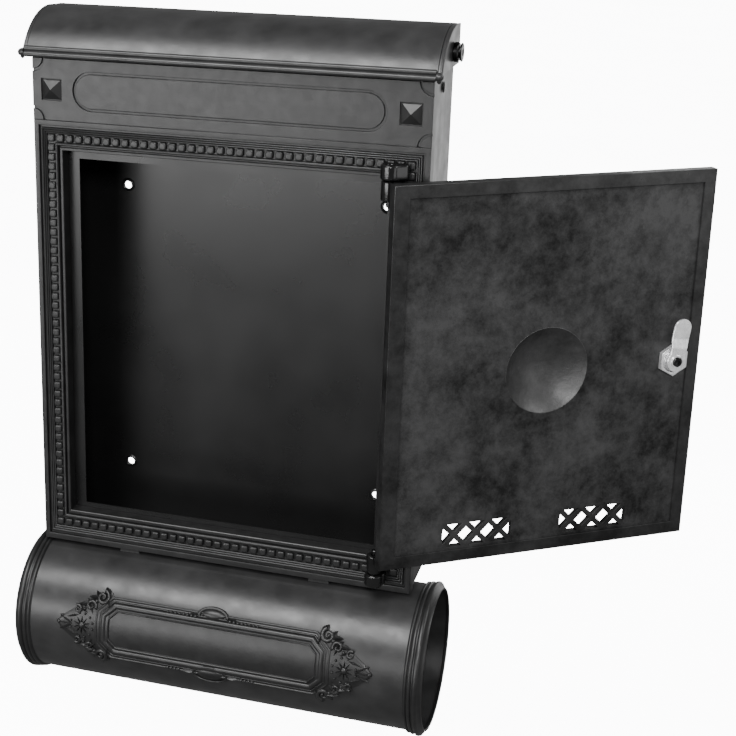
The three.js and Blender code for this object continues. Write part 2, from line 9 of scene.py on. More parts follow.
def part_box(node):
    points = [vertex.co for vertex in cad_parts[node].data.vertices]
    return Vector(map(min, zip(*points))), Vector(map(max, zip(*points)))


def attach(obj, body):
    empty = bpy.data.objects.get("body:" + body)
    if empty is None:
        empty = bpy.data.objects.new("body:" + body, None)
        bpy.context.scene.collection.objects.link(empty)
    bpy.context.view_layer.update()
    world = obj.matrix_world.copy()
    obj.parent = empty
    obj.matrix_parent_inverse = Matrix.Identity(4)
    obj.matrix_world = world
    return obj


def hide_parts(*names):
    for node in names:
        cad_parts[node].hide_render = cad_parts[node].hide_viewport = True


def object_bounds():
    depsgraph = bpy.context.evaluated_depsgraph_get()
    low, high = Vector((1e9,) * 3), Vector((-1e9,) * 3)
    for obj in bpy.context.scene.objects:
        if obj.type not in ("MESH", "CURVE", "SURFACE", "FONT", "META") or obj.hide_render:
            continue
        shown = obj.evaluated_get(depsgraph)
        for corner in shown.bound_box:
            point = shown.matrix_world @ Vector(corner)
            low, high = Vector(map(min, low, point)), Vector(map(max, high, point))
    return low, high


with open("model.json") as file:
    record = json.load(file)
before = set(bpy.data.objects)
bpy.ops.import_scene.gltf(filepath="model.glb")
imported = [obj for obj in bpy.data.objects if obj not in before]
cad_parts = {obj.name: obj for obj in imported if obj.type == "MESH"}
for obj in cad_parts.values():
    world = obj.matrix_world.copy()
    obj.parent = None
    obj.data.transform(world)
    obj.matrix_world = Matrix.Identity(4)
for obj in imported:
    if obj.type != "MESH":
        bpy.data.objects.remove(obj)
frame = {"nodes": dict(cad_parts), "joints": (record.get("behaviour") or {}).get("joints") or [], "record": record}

cad_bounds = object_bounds()
MM = 0.001
TURN = 2 * math.pi


def limits(node):
    """(lowest corner, highest corner) of a CAD node, in millimetres."""
    low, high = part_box(node)
    return low / MM, high / MM


def joint(name):
    return next(j for j in frame["joints"] if j["name"] == name)


# ---- places read from the frame ----
CASTING_LOW, CASTING_HIGH = limits("front_casting")
BASE = CASTING_LOW.z                                  # underside of the box
HALF_W = CASTING_HIGH.x
FACE_TOP = CASTING_HIGH.z
CAST_T = 9
FACE_Y = CASTING_HIGH.y - CAST_T
HINGE = Vector(joint("door_hinge")["pos_m"]) / MM
OPEN_DEG = -joint("door_hinge")["range_deg"][0]
LID_PIVOT = Vector(joint("lid_hinge")["pos_m"]) / MM
TUBE_LOW, TUBE_HIGH = limits("tube_shell")
TUBE_MID = (TUBE_LOW + TUBE_HIGH) / 2
TUBE_R = (TUBE_HIGH.z - TUBE_LOW.z) / 2
TUBE_END = limits("tube_ring_right")[1].x - TUBE_MID.x
RING_R = limits("tube_ring_right")[1].z - TUBE_MID.z

# ---- sizes of the ornament and the small parts ----
OPEN_X = 127.5
OPEN_Z0 = BASE + 27
OPEN_Z1 = BASE + 318
STILE = HALF_W - OPEN_X                               # width of the moulding on the stiles
MOULD_TOP = OPEN_Z1 + STILE
PANEL_RISE = 1.6
PANEL_TOP = BASE + 386
FIELD_X = 118
FIELD_MID = BASE + 363.2
FIELD_R = 14.5
STUD_X = 134.9
STUD = 16
SCALLOP = 10
DOOR_CLEAR = 0.5
DOOR_X0 = -OPEN_X + DOOR_CLEAR - HINGE.x              # the free edge, in the closed door's own place
DOOR_X1 = OPEN_X - DOOR_CLEAR - HINGE.x
DOOR_Z0 = OPEN_Z0 + DOOR_CLEAR
DOOR_Z1 = OPEN_Z1 - DOOR_CLEAR
DOOR_MID = (DOOR_Z0 + DOOR_Z1) / 2
DOOR_Y = FACE_Y - HINGE.y
DOOR_BACK = DOOR_Y + CAST_T
FIELD_FRONT = DOOR_Y + 3                              # outer and inner face of the door's sunk field
FIELD_BACK = DOOR_BACK - 1.5
DISH_R = 33
DISH_DEEP = 13
VENT_X = 48.5
VENT_Z = DOOR_Z0 + 21
VENT_R = 9.2
VENT_PITCH = 18.4
VENT_BAR = 4.2
LOCK_X = -104.5 - HINGE.x
LOCK_HOLE_R = 9.3                                     # in the door, its pad and the nut
LOCK_PAD_R = 14
NUT_R = 12.7                                          # to the corners: 22 across the flats
THREAD_R = 9
THREAD_ROOT = 8.5
CAM_FACE = DOOR_BACK + 4.3
CAM_LEAN = 8
LID_R = 51
LID_Y = -31.8
LID_Z = BASE + 369.5
LID_LIP = BASE + 391.5
LID_BACK_Y = -8.5
LID_HALF = 152.2
CHEEK_IN = 152.5                                      # inner face of the lid's cheeks, from the middle
CHEEK_T = 1.8
PLAQUE_TILT = 10
PLAQUE_HALF = 25.5                                    # measured round the tube
WALL_HOLE_X = 104.8
WALL_HOLE_RISES = (44.3, 279.4)                       # above the underside of the box
LUG_ROWS = ((7.5, 17.4, 8), (318.1, 329, 12.5))       # foot and head above the underside, reach to the edge
KNUCKLE_ROWS = ((303.5, 317.4, 0), (18, 32.5, 0.8))   # foot and head above the underside, taper at the foot
SIDES = ((1, "right"), (-1, "left"))

CLOSED_DOOR = Matrix.Translation((HINGE.x, HINGE.y, 0)) @ Matrix.Rotation(math.radians(OPEN_DEG), 4, "Z")
LOCK_PLACE = CLOSED_DOOR @ Matrix.Translation((LOCK_X, 0, DOOR_MID))
CAM_PLACE = LOCK_PLACE @ Matrix.Rotation(math.radians(-CAM_LEAN), 4, "Y")
ALONG_X = Matrix.Rotation(math.radians(90), 4, "Y")   # turned pieces are drawn about Z
ALONG_Y = Matrix.Rotation(math.radians(-90), 4, "X")
FACING = Matrix.Rotation(math.radians(90), 4, "X")    # plates are drawn in X and Y, this stands them up


# ---- materials ----
def new_material(name, tone, roughness, metallic=0.0):
    material = bpy.data.materials.new(name)
    material.use_nodes = True
    shader = material.node_tree.nodes["Principled BSDF"]
    shader.inputs["Base Color"].default_value = (*tone, 1)
    shader.inputs["Roughness"].default_value = roughness
    shader.inputs["Metallic"].default_value = metallic
    return material, material.node_tree, shader


def cloud(tree, scale, detail=4, stretch=(1, 1, 1), harshness=0.5):
    """Noise in the row frame; scale is in waves to the metre."""
    place = tree.nodes.new("ShaderNodeTexCoord")
    spread = tree.nodes.new("ShaderNodeMapping")
    spread.inputs["Scale"].default_value = stretch
    tree.links.new(place.outputs["Object"], spread.inputs["Vector"])
    noise = tree.nodes.new("ShaderNodeTexNoise")
    noise.inputs["Scale"].default_value = scale
    noise.inputs["Detail"].default_value = detail
    noise.inputs["Roughness"].default_value = harshness
    tree.links.new(spread.outputs["Vector"], noise.inputs["Vector"])
    return noise.outputs["Fac"]


def spread_over(tree, factor, low, high, start=0.32, end=0.68):
    """A colour or value from low to high over the middle of the noise."""
    ramp = tree.nodes.new("ShaderNodeValToRGB")
    ramp.color_ramp.elements[0].position = start
    ramp.color_ramp.elements[1].position = end
    ramp.color_ramp.elements[0].color = (*low, 1)
    ramp.color_ramp.elements[1].color = (*high, 1)
    tree.links.new(factor, ramp.inputs["Fac"])
    return ramp.outputs["Color"]


def bumps(tree, shader, *layers):
    """Each layer is (height field, strength, depth in millimetres)."""
    normal = None
    for height, strength, depth in layers:
        bump = tree.nodes.new("ShaderNodeBump")
        bump.inputs["Strength"].default_value = strength
        bump.inputs["Distance"].default_value = depth * MM
        tree.links.new(height, bump.inputs["Height"])
        if normal:
            tree.links.new(normal, bump.inputs["Normal"])
        normal = bump.outputs["Normal"]
    tree.links.new(normal, shader.inputs["Normal"])


def grey(value):
    return (value, value, value * 1.01)


def paint(name, dark, light, gloss, dull, patch, grain, depth, shine):
    """Black paint: patches of tone and gloss over a fine grain of the given depth."""
    material, tree, shader = new_material(name, grey(light), dull)
    shader.inputs["Specular IOR Level"].default_value = shine
    tree.links.new(spread_over(tree, cloud(tree, patch, 6), grey(dark), grey(light)),
                   shader.inputs["Base Color"])
    tree.links.new(spread_over(tree, cloud(tree, patch * 1.7, 8), grey(gloss), grey(dull)),
                   shader.inputs["Roughness"])
    bumps(tree, shader, (cloud(tree, grain, 3), 0.35, depth), (cloud(tree, grain * 5, 2), 0.2, depth * 0.4))
    return material


def mottled(name, tones, gloss, dull, depth, shine):
    """Thinly painted casting: fine harsh mottling over broad patches, rough where it is pale."""
    material, tree, shader = new_material(name, grey(tones[1]), dull)
    shader.inputs["Specular IOR Level"].default_value = shine
    broad_share, fine_share = 0.45, 0.55
    broad, fine = cloud(tree, 16, 5), cloud(tree, 70, 12, harshness=0.78)
    both = tree.nodes.new("ShaderNodeMath")
    both.operation = "MULTIPLY_ADD"
    both.inputs[1].default_value = broad_share
    tree.links.new(broad, both.inputs[0])
    half = tree.nodes.new("ShaderNodeMath")
    half.operation = "MULTIPLY"
    half.inputs[1].default_value = fine_share
    tree.links.new(fine, half.inputs[0])
    tree.links.new(half.outputs[0], both.inputs[2])
    mix = both.outputs[0]
    tree.links.new(spread_over(tree, mix, grey(tones[0]), grey(tones[1]), 0.40, 0.60),
                   shader.inputs["Base Color"])
    tree.links.new(spread_over(tree, mix, grey(dull), grey(gloss), 0.38, 0.62), shader.inputs["Roughness"])
    bumps(tree, shader, (mix, 0.5, depth), (cloud(tree, 900, 2), 0.25, depth * 0.15))
    return material


def plated(name, low, high, gloss, dull, metallic=1.0):
    """Plated steel with faint drawn lines and stains."""
    material, tree, shader = new_material(name, grey(high), dull, metallic)
    tree.links.new(spread_over(tree, cloud(tree, 160, 5), grey(low), grey(high)),
                   shader.inputs["Base Color"])
    tree.links.new(spread_over(tree, cloud(tree, 500, 4, (1, 1, 0.15)), grey(gloss), grey(dull)),
                   shader.inputs["Roughness"])
    bumps(tree, shader, (cloud(tree, 2500, 2, (1, 1, 0.1)), 0.15, 0.05))
    return material


SHEET_PAINT = paint("sheet_paint", 0.018, 0.032, 0.28, 0.40, 45, 360, 0.13, 0.5)
CAST_PAINT = paint("cast_paint", 0.010, 0.018, 0.35, 0.40, 90, 300, 0.20, 0.5)
DOOR_PAINT = mottled("door_paint", (0.001, 0.047), 0.32, 0.70, 1.4, 0.3)
RIM_PAINT = mottled("rim_paint", (0.002, 0.026), 0.26, 0.46, 0.5, 0.35)
DISH_PAINT = mottled("dish_paint", (0.001, 0.040), 0.24, 0.52, 1.8, 0.9)
GLOSS_PAINT = paint("gloss_paint", 0.003, 0.007, 0.12, 0.22, 60, 240, 0.25, 0.6)
# Darker copy of the black sheet paint for the box's inside: its darker tone is painted shade for the dim interior.
SHADED_INSIDE_PAINT = paint("shaded_inside_paint", 0.006, 0.010, 0.25, 0.34, 10, 500, 0.05, 0.47)
DARK_STEEL = plated("dark_steel", 0.02, 0.06, 0.20, 0.38)
ZINC = plated("zinc_plate", 0.70, 0.93, 0.18, 0.38, 0.75)
MATERIALS = {"black_sheet": SHEET_PAINT, "black_cast": CAST_PAINT,
             "dark_steel": DARK_STEEL, "zinc_steel": ZINC}


# ---- building ----
class Shape:
    """Collects closed shells into the mesh of one piece."""

    def __init__(self):
        self.verts = []
        self.faces = []

    def add(self, shell, place=Matrix.Identity(4)):
        verts, faces = shell
        start = len(self.verts)
        self.verts += [place @ Vector(v) for v in verts]
        self.faces += [[start + i for i in face] for face in faces]
        return self


def make(name, shape, body, slot, material=None, replaces=(), sharp=38):
    mesh = bpy.data.meshes.new(name)
    mesh.from_pydata([v * MM for v in shape.verts], [], shape.faces)
    work = bmesh.new()
    work.from_mesh(mesh)
    bmesh.ops.recalc_face_normals(work, faces=work.faces)
    work.to_mesh(mesh)
    work.free()
    mesh.shade_smooth()
    mesh.set_sharp_from_angle(angle=math.radians(sharp))
    piece = bpy.data.objects.new(name, mesh)
    bpy.context.scene.collection.objects.link(piece)
    mesh.materials.append(material or MATERIALS[slot])
    weighted = piece.modifiers.new("flat_faces", "WEIGHTED_NORMAL")
    weighted.keep_sharp = True
    if replaces:
        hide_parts(*replaces)
    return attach(piece, body)


def arc(cx, cy, radius, start, end, steps=10):
    """Points on a circle from one angle to another, in degrees."""
    angles = [math.radians(start + (end - start) * i / steps) for i in range(steps + 1)]
    return [(cx + radius * math.cos(a), cy + radius * math.sin(a)) for a in angles]


def circle(cx, cy, radius, steps=48):
    return arc(cx, cy, radius, 0, 360, steps)[:-1]


def rectangle(x0, x1, y0, y1):
    return [(x0, y0), (x1, y0), (x1, y1), (x0, y1)]


def long_round(cx, cy, half, radius):
    right_end = arc(cx + half - radius, cy, radius, -90, 90, 16)
    return right_end + arc(cx - half + radius, cy, radius, 90, 270, 16)


def signed_area(loop):
    return sum(a[0] * b[1] - b[0] * a[1] for a, b in zip(loop, loop[1:] + loop[:1])) / 2


def plate(outline, thickness, holes=(), bevel=0.3):
    """A flat plate with holes and rounded edges, drawn in X and Y, from z = 0 up."""
    curve = bpy.data.curves.new("plate", "CURVE")
    curve.dimensions = "2D"
    curve.fill_mode = "BOTH"
    curve.extrude = thickness / 2 - bevel
    curve.bevel_depth = bevel
    curve.bevel_resolution = 2
    curve.offset = -bevel
    for loop, turn in [(outline, 1)] + [(hole, -1) for hole in holes]:
        points = loop if signed_area(loop) * turn > 0 else loop[::-1]
        spline = curve.splines.new("POLY")
        spline.points.add(len(points) - 1)
        for point, (x, y) in zip(spline.points, points):
            point.co = (x, y, 0, 1)
        spline.use_cyclic_u = True
    holder = bpy.data.objects.new("plate", curve)
    bpy.context.scene.collection.objects.link(holder)
    mesh = bpy.data.meshes.new_from_object(holder.evaluated_get(bpy.context.evaluated_depsgraph_get()))
    work = bmesh.new()
    work.from_mesh(mesh)
    bmesh.ops.remove_doubles(work, verts=work.verts, dist=0.01)
    verts = [(v.co.x, v.co.y, v.co.z + thickness / 2) for v in work.verts]
    faces = [[v.index for v in face.verts] for face in work.faces]
    work.free()
    bpy.data.objects.remove(holder)
    bpy.data.curves.remove(curve)
    bpy.data.meshes.remove(mesh)
    return verts, faces


def bands(rows, around, closed=False):
    """Faces between rows of points that go round a piece. Where closed, the last row joins the first."""
    faces = []
    for row in range(rows if closed else rows - 1):
        a, b = row * around, (row + 1) % rows * around
        faces += [[a + k, a + (k + 1) % around, b + (k + 1) % around, b + k] for k in range(around)]
    return faces


def caps(rows, around):
    """The two faces that close the first and the last row."""
    return [list(range(around)), list(range((rows - 1) * around, rows * around))]


def closed_sheet(sheet, steps, across, flat):
    """Closes a sheet of (steps + 1) by (across + 1) points with a flat sheet at the height given."""
    row, under = across + 1, len(sheet)
    faces = [[i * row + k, i * row + k + 1, (i + 1) * row + k + 1, (i + 1) * row + k]
             for i in range(steps) for k in range(across)]
    faces += [[under + i for i in face] for face in faces]
    edge = [i * row for i in range(steps + 1)] + [steps * row + k for k in range(1, row)]
    edge += [i * row + across for i in range(steps - 1, -1, -1)] + list(range(across - 1, 0, -1))
    faces += [[a, b, b + under, a + under] for a, b in zip(edge, edge[1:] + edge[:1])]
    return sheet + [(x, y, flat) for x, y, z in sheet], faces


def turned(profile, sides=72, ring=False):
    """A profile of (radius, height) turned about Z. A ring's profile closes on itself."""
    verts = [(r * math.cos(TURN * i / sides), r * math.sin(TURN * i / sides), h)
             for r, h in profile for i in range(sides)]
    return verts, bands(len(profile), sides, ring) + ([] if ring else caps(len(profile), sides))


def run_x(profile, x0, x1):
    """A closed outline of (y, z), run along X."""
    verts = [(x, y, z) for x in (x0, x1) for y, z in profile]
    return verts, bands(2, len(profile)) + caps(2, len(profile))


def cord(points, radii, sides=10):
    """A round bead along a line of points, with its own radius at each."""
    verts = []
    points = [Vector(p) for p in points]
    for i, point in enumerate(points):
        ahead = (points[min(i + 1, len(points) - 1)] - points[max(i - 1, 0)]).normalized()
        side = ahead.cross(Vector((0, 0, 1)) if abs(ahead.z) < 0.9 else Vector((1, 0, 0))).normalized()
        up = side.cross(ahead)
        for k in range(sides):
            a = TURN * k / sides
            verts.append(point + (side * math.cos(a) + up * math.sin(a)) * radii[i])
    return verts, bands(len(points), sides) + caps(len(points), sides)


def dome(radius, height, steps=8, sides=24):
    """A low rounded cap standing on z = 0."""
    rings = [(radius * math.cos(math.pi / 2 * i / steps * 0.96), height * math.sin(math.pi / 2 * i / steps))
             for i in range(steps + 1)]
    return turned([(radius, -0.6)] + rings, sides)


def pillow(width, depth, height):
    """A small block with a rounded top, standing on z = 0."""
    rings = [(1, -0.5), (1, 0.45), (0.95, 0.72), (0.82, 0.92), (0.5, 1)]    # shares of width and height
    sides, squareness = 16, 0.45

    def squared(value):
        return math.copysign(abs(value) ** squareness, value)

    turns = [TURN * i / sides for i in range(sides)]
    corner = [(squared(math.cos(a)), squared(math.sin(a))) for a in turns]
    verts = [(x * s * width / 2, y * s * depth / 2, h * height) for s, h in rings for x, y in corner]
    return verts, bands(len(rings), sides) + caps(len(rings), sides)


def leaf(length, width, height, steps=8, across=6):
    """A pointed leaf with a raised rib and a hollow either side, from the origin along +X, on z = 0."""
    verts = []
    for i in range(steps + 1):
        t = i / steps
        half = width / 2 * math.sin(math.pi * t ** 0.8) ** 0.8 + 0.02
        for k in range(across + 1):
            s = 2 * k / across - 1
            rib = 0.55 + 0.45 * math.cos(TURN * s)
            crown = rib * (1 - abs(s) ** 3) * math.sin(math.pi * (0.1 + 0.85 * t))
            verts.append((t * length, s * half, height * crown))
    return closed_sheet(verts, steps, across, -0.6)


# ---- cast front ----
def reed(u0, u1, base, top, steps=6):
    """Half-round ridge between two places across the moulding."""
    mid, half = (u0 + u1) / 2, (u1 - u0) / 2
    return [(mid - half * math.cos(math.pi * i / steps), base + (top - base) * math.sin(math.pi * i / steps))
            for i in range(steps + 1)]


def moulding_profile():
    """(distance from the outer edge, rise) across the moulding, on a stile."""
    profile = [(0, -CAST_T), (0, 1.1), (0.2, 1.45), (0.5, PANEL_RISE), (3.6, PANEL_RISE), (4.0, 1.3),
               (4.1, -0.8), (5.6, -0.8)]
    for k in range(3):
        profile += reed(5.8 + 1.55 * k, 7.25 + 1.55 * k, 0, 1.2)
    profile += [(10.5, -0.8), (16.3, -0.8)] + reed(16.5, 19.0, 0, 1.5)
    profile += [(19.1, -1.8), (20.2, -1.8), (20.3, 0.3), (20.6, 0.6), (STILE - 0.5, 0.6)]
    return profile + [(STILE - 0.1, 0.2), (STILE, -CAST_T)]


def mitred(profile):
    """The moulding run round the door opening, mitred at its corners."""
    verts = []
    for u, rise in profile:
        t = u / STILE
        x = HALF_W - u
        z0 = BASE + t * (OPEN_Z0 - BASE)
        z1 = MOULD_TOP - u
        verts += [(a, FACE_Y - rise, b) for a, b in rectangle(-x, x, z0, z1)]
    return verts, bands(len(profile), 4, closed=True)


def dentils(shape):
    middle, size, pitch = 13.4, 5.7, 7.3
    z0 = BASE + middle / STILE * (OPEN_Z0 - BASE)
    x, z1 = HALF_W - middle, MOULD_TOP - middle
    corners = [(-x, z0), (x, z0), (x, z1), (-x, z1)]
    block = pillow(size, size, 2.2)
    for (xa, za), (xb, zb) in zip(corners, corners[1:] + corners[:1]):
        count = round(math.hypot(xb - xa, zb - za) / pitch)
        for i in range(count):
            t = i / count
            place = Matrix.Translation((xa + (xb - xa) * t, FACE_Y + 0.4, za + (zb - za) * t))
            shape.add(block, place @ FACING)


def name_panel(shape):
    """The raised panel over the door, with scalloped corners, a long round field and two sunk studs."""
    x, z0, z1 = HALF_W, MOULD_TOP, PANEL_TOP
    outline = arc(x, z0, SCALLOP, 180, 90) + arc(x, z1, SCALLOP, 270, 180)
    outline += arc(-x, z1, SCALLOP, 0, -90) + arc(-x, z0, SCALLOP, 90, 0)
    half = STUD / 2
    squares = [rectangle(s * STUD_X - half, s * STUD_X + half, FIELD_MID - half, FIELD_MID + half)
               for s in (-1, 1)]
    stand = Matrix.Translation((0, FACE_Y + 0.2, 0)) @ FACING
    holes = [long_round(0, FIELD_MID, FIELD_X, FIELD_R)] + squares
    shape.add(plate(outline, PANEL_RISE + 0.2, holes, 0.3), stand)
    field = long_round(0, FIELD_MID, FIELD_X - 1.8, FIELD_R - 1.8)
    shape.add(plate(field, PANEL_RISE - 0.1, bevel=0.5), stand)
    for sx in (-1, 1):
        for z, turn in ((z0, 0), (z1, -90)):
            start = turn if sx < 0 else 90 - turn
            corner = [(sx * x, z)] + arc(sx * x, z, SCALLOP - 1.9, start, start + 90)
            shape.add(plate(corner, PANEL_RISE, bevel=0.3), stand)


def studs():
    """Square pyramids sunk in the name panel."""
    shape = Shape()
    half = STUD / 2 - 0.4
    for sx in (-1, 1):
        base = [(sx * STUD_X + a * half, FACE_Y + 0.1, FIELD_MID + b * half)
                for a, b in rectangle(-1, 1, -1, 1)]
        tip = (sx * STUD_X, FACE_Y - 3.8, FIELD_MID)
        shape.add((base + [tip], [[0, 1, 2, 3], [0, 1, 4], [1, 2, 4], [2, 3, 4], [3, 0, 4]]))
    make("panel_studs", shape, "housing", "black_cast", sharp=20)


def hinge_lug(height, reach):
    """Rounded lug on the face, bored for the pin. Drawn from above."""
    x, y = HINGE.x, HINGE.y
    nose = arc(x, y, 7, 180, 330, 18)
    tail = arc(x + reach - 3, y + 3, 3, 300, 360, 6)
    outline = [(x - 7, FACE_Y + 1)] + nose + tail + [(x + reach, FACE_Y + 1)]
    return plate(outline, height, [circle(x, y, 2.8, 24)], 1.6)


def front_casting():
    shape = Shape().add(mitred(moulding_profile()))
    dentils(shape)
    back = Matrix.Translation((0, FACE_Y + CAST_T, 0)) @ FACING
    shape.add(plate(rectangle(-HALF_W, HALF_W, MOULD_TOP, FACE_TOP), CAST_T, bevel=0.4), back)
    name_panel(shape)
    make("cast_front", shape, "housing", "black_cast", replaces=["front_casting"])


def hinge_lugs():
    shape = Shape()
    for low, high, reach in LUG_ROWS:
        shape.add(hinge_lug(high - low, reach), Matrix.Translation((0, 0, BASE + low)))
    make("hinge_lugs", shape, "housing", "black_cast", GLOSS_PAINT)


def hinge_pins():
    for node in ("hinge_pin_top", "hinge_pin_lower"):
        low, high = limits(node)
        r, length = (high.x - low.x) / 2, high.z - low.z
        profile = [(r - 0.6, 0), (r, 0.6), (r, length - 0.7), (r - 0.5, length - 0.1), (r - 1.2, length)]
        shape = Shape().add(turned(profile, 32), Matrix.Translation((HINGE.x, HINGE.y, low.z)))
        make(node + "_round", shape, "housing", "dark_steel", replaces=[node])


# ---- door ----
def vent_holes(x):
    """The openings left between the slanting bars of one long round vent."""
    holes = []
    half = VENT_PITCH / 2 - VENT_BAR / math.sqrt(2)
    for i in (-1, 0, 1):
        c = x + i * VENT_PITCH
        for up in (1, -1):
            edge = VENT_Z + up * VENT_R
            holes.append([(c - half, edge), (c + half, edge), (c, VENT_Z + up * (VENT_R - half))])
    for i in (-0.5, 0.5):
        c = x + i * VENT_PITCH
        holes.append([(c - half, VENT_Z), (c, VENT_Z - half), (c + half, VENT_Z), (c, VENT_Z + half)])
    for side in (-1, 1):
        c = x + side * 1.5 * VENT_PITCH
        holes.append([(c - side * half, VENT_Z), (c, VENT_Z - half), (c + side * 0.6, VENT_Z - half * 0.6),
                      (c + side * 0.6, VENT_Z + half * 0.6), (c, VENT_Z + half)])
    return holes


def door_border():
    """(insets at the free edge, hinge edge, bottom and top, place through the thickness) of the border."""
    thin = (10, 12, 10, 10)
    wide = (16, 16, 11, 16)

    def inset(sizes, less=0):
        return [size - less for size in sizes]

    edge = [0, 0, 0, 0]
    return [(inset(edge, -0.5), DOOR_Y), (edge, DOOR_Y + 0.5), (edge, DOOR_BACK - 0.6),
            (inset(edge, -0.2), DOOR_BACK - 0.2), (inset(edge, -0.6), DOOR_BACK),
            (inset(thin, 0.7), DOOR_BACK), (inset(thin, 0.2), DOOR_BACK - 0.3), (thin, FIELD_BACK - 1),
            (wide, FIELD_FRONT + 1), (wide, DOOR_Y + 0.6), (inset(wide, 0.5), DOOR_Y)]


def bordered(profile):
    """A closed border run round the door, mitred at its corners."""
    verts = []
    for (free, hinge, bottom, top), y in profile:
        x0, x1, z0, z1 = DOOR_X0 + free, DOOR_X1 - hinge, DOOR_Z0 + bottom, DOOR_Z1 - top
        verts += [(x0, y, z0), (x1, y, z0), (x1, y, z1), (x0, y, z1)]
    return verts, bands(len(profile), 4, closed=True)


def bowl():
    """The dish's shell, from its middle out over the edge and back to the middle of the dome outside."""
    steps, wall = 18, 3
    ball = (DISH_R ** 2 + DISH_DEEP ** 2) / (2 * DISH_DEEP)
    inner = []
    for i in range(steps + 1):
        r = max(DISH_R * math.sin(math.pi / 2 * i / steps), 0.05)
        inner.append((r, ball - DISH_DEEP - math.sqrt(ball ** 2 - r ** 2)))
    outer = [(r * (1 + wall / ball) + 0.02, h - wall) for r, h in inner[::-1]]
    return inner + [(DISH_R + 0.5, -0.15), (DISH_R + 0.8, -0.6)] + outer


def door():
    make("door_rim", Shape().add(bordered(door_border()), CLOSED_DOOR), "door", "black_cast", RIM_PAINT,
         replaces=["door_panel"])
    shape = Shape()
    vents = vent_holes(-HINGE.x - VENT_X) + vent_holes(-HINGE.x + VENT_X)
    lock_hole = circle(LOCK_X, DOOR_MID, LOCK_HOLE_R, 32)
    holes = [circle(-HINGE.x, DOOR_MID, DISH_R + 0.4, 72), lock_hole]
    field = rectangle(DOOR_X0 + 9, DOOR_X1 - 11, DOOR_Z0 + 9, DOOR_Z1 - 9)
    field_place = CLOSED_DOOR @ Matrix.Translation((0, FIELD_BACK, 0)) @ FACING
    shape.add(plate(field, FIELD_BACK - FIELD_FRONT, holes + vents, 0.3), field_place)
    pad_place = CLOSED_DOOR @ Matrix.Translation((0, FIELD_FRONT + 0.1, 0)) @ FACING
    pad = circle(LOCK_X, DOOR_MID, LOCK_PAD_R, 48)
    shape.add(plate(pad, FIELD_FRONT - DOOR_Y + 0.1, [lock_hole], 0.4), pad_place)
    facing_in = Matrix.Translation((-HINGE.x, FIELD_BACK, DOOR_MID)) @ ALONG_Y
    make("dished_centre", Shape().add(turned(bowl(), 96), CLOSED_DOOR @ facing_in), "door", "black_cast",
         DISH_PAINT, replaces=["door_panel"])
    make("cast_door", shape, "door", "black_cast", DOOR_PAINT, replaces=["door_panel"])


def door_knuckles():
    shape = Shape()
    for z0, z1, taper in KNUCKLE_ROWS:
        r, long = 6.2, z1 - z0
        profile = [(2.8, 0), (r - 1 - taper, 0), (r - 0.3 - taper, 0.3), (r - taper, 1), (r, long * 0.6),
                   (r, long - 1), (r - 0.3, long - 0.3), (r - 1, long), (2.8, long)]
        shape.add(turned(profile, 48, ring=True), CLOSED_DOOR @ Matrix.Translation((0, 0, BASE + z0)))
        low = max(BASE + z0, DOOR_Z0)
        web = plate(rectangle(-6, DOOR_X1 - 0.1, 3.2, DOOR_Y + 0.6), BASE + z1 - low, bevel=0.4)
        shape.add(web, CLOSED_DOOR @ Matrix.Translation((0, 0, low)))
    make("door_knuckles", shape, "door", "black_cast", GLOSS_PAINT, replaces=["door_panel"])


# ---- lock: drawn about Y, seen from inside the door the cam points up ----
def lock():
    nut_back, nut_front = FIELD_BACK + 0.3, FIELD_BACK + 4.3
    hexagon = [(NUT_R * math.sin(TURN * i / 6), NUT_R * math.cos(TURN * i / 6)) for i in range(6)]
    nut = plate(hexagon, nut_front - nut_back, [circle(0, 0, LOCK_HOLE_R, 40)], 0.5)
    make("hexagon_nut", Shape().add(nut, LOCK_PLACE @ Matrix.Translation((0, nut_front, 0)) @ FACING),
         "door", "zinc_steel", replaces=["lock_nut"])
    outer, end = DOOR_Y - 2.3, CAM_FACE - 0.7
    barrel = [(6.5, outer), (10.6, outer), (11.7, outer + 0.9), (12, DOOR_Y - 0.4),
              (THREAD_R, DOOR_Y - 0.35)]
    pitch = 1.1
    for k in range(int((end - FIELD_BACK) / pitch)):
        barrel += [(THREAD_R, FIELD_BACK + pitch * k), (THREAD_ROOT, FIELD_BACK + pitch * (k + 0.5))]
    barrel += [(THREAD_ROOT, end - 0.3), (8.2, end), (6.5, end)]
    make("threaded_barrel", Shape().add(turned(barrel, 56, ring=True), LOCK_PLACE @ ALONG_Y),
         "door", "zinc_steel", replaces=["lock_barrel"])


def cam_half_width(z, eye, tip, reach):
    """Half the cam's width at a height above the lock's axis: a round eye, a waist and a round tip."""
    waist, broad = 6.4, 7.2
    half = waist + (broad - waist) * min(max((z - 8) / 10, 0), 1)
    if z < eye * 0.6:
        half = math.sqrt(max(eye ** 2 - z ** 2, 0.01))
    if z > reach - tip:
        half = math.sqrt(max(tip ** 2 - (z - reach + tip) ** 2, 0.01))
    return half


